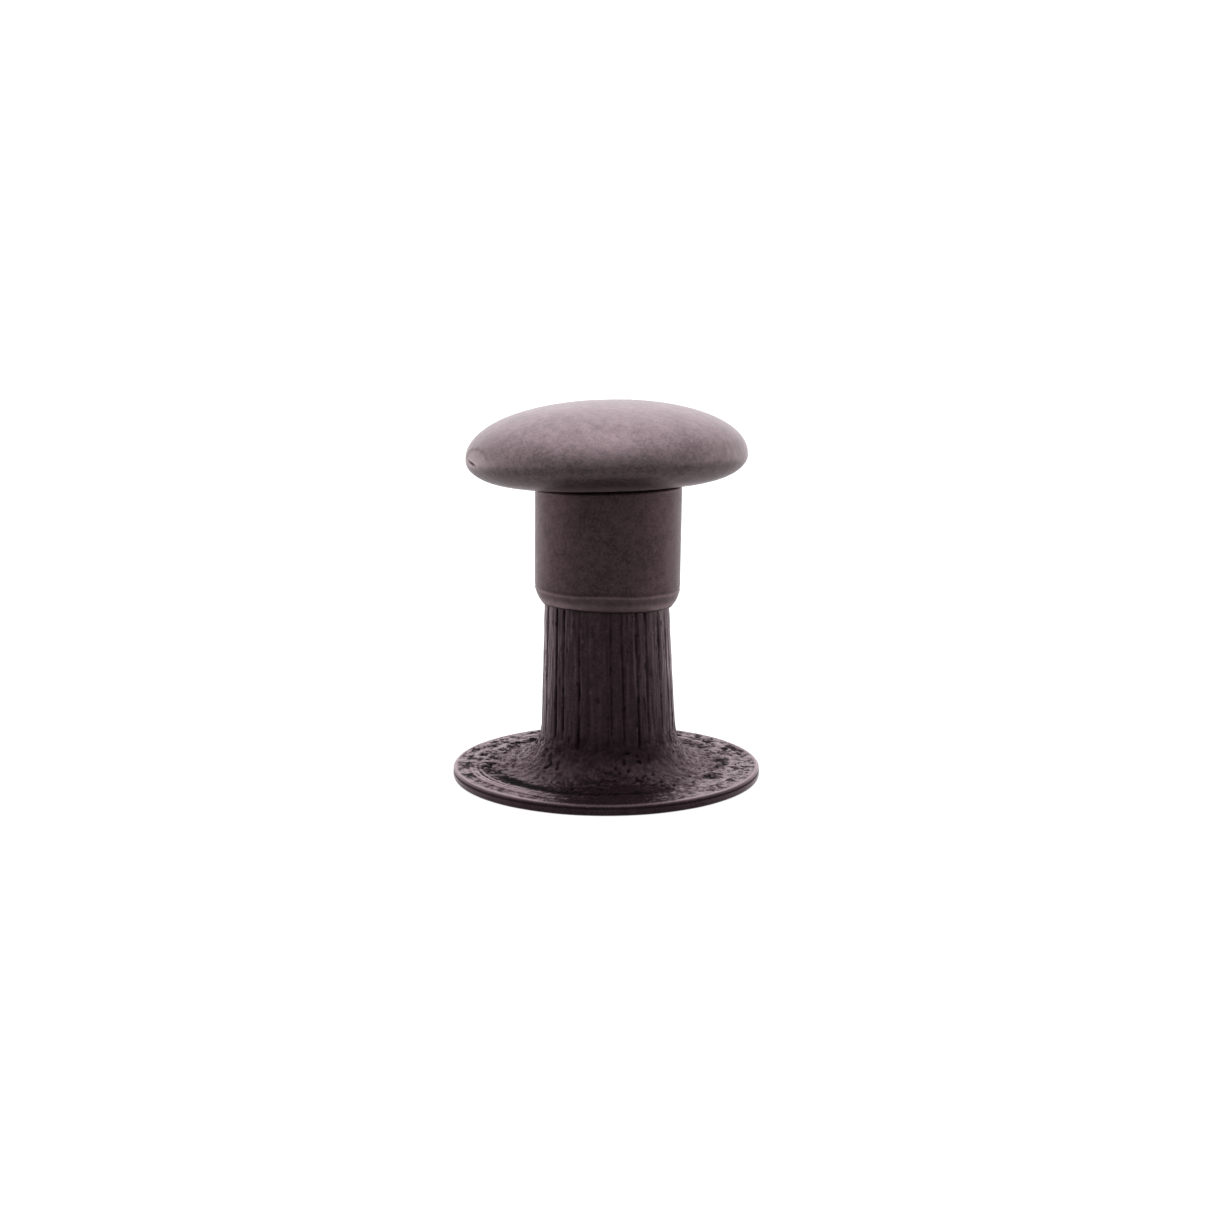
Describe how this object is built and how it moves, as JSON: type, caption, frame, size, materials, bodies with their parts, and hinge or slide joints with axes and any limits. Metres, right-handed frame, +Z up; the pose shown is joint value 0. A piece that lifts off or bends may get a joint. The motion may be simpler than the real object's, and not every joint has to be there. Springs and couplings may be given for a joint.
{
  "type": "cap rivet",
  "caption": "Domed cap rivet: a fluted tubular post on a thin flange slides into a socket that carries a loosely turning cap, to fasten canvas or leather.",
  "frame": {"origin": "centre of the flange's underside, on the post's axis", "axes": "+Z up the post towards the cap; +X towards the side on which the cap stands slightly higher"},
  "size_m": [0.01, 0.01, 0.0121],
  "materials": {
    "post_metal": "dark oxidised plating over drawn brass, worn and slightly glossy",
    "socket_metal": "dark oxidised plating over drawn brass, semi-matte, fine grain",
    "cap_metal": "dark oxidised plating over drawn brass, semi-matte, mottled",
    "backing_metal": "dark oxidised plating over drawn brass, semi-matte"
  },
  "bodies": {
    "post": {"post": "post_metal"},
    "socket": {"socket": "socket_metal"},
    "cap": {"cap_shell": "cap_metal", "backing_disc": "backing_metal"}
  },
  "joints": [
    {"name": "socket_slide", "type": "slide", "parent": "post", "child": "socket", "axis": [0.0119, 0, 0.9999], "range_m": [-0.0005, 0.003]},
    {"name": "cap_spin", "type": "hinge", "parent": "socket", "child": "cap", "pos_m": [0.00004, 0, 0.00928], "axis": [-0.0262, 0, 0.9997], "continuous": true}
  ]
}
